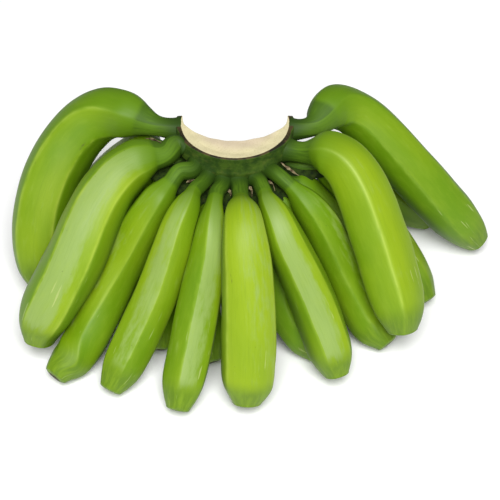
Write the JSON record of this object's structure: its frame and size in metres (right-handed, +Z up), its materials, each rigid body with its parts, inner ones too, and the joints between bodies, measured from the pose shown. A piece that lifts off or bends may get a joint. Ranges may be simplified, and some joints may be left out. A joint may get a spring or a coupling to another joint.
{
  "type": "bunch of plantains",
  "caption": "Cut hand of green plantains: curved fingers in two rows around a crescent-shaped crown, resting palm down on their tips.",
  "frame": {"origin": "middle of the bounding box's base, on the surface that the finger tips rest on", "axes": "+Z up; the crown's hollow side and the cut stalk face +Y, the middle fingers reach out to -Y, the fan spreads along X"},
  "size_m": [0.3592, 0.2142, 0.1455],
  "materials": {
    "peel": "satin",
    "crown": "matte"
  },
  "bodies": {
    "root": {"crown": "crown", "upper_finger_1": "peel", "upper_finger_2": "peel", "upper_finger_3": "peel", "upper_finger_4": "peel", "upper_finger_5": "peel", "upper_finger_6": "peel", "upper_finger_7": "peel", "upper_finger_8": "peel", "upper_finger_9": "peel", "upper_finger_10": "peel", "lower_finger_1": "peel", "lower_finger_2": "peel", "lower_finger_3": "peel", "lower_finger_4": "peel", "lower_finger_5": "peel", "lower_finger_6": "peel", "lower_finger_7": "peel", "lower_finger_8": "peel", "lower_finger_9": "peel", "lower_finger_10": "peel", "lower_finger_11": "peel"}
  },
  "joints": []
}
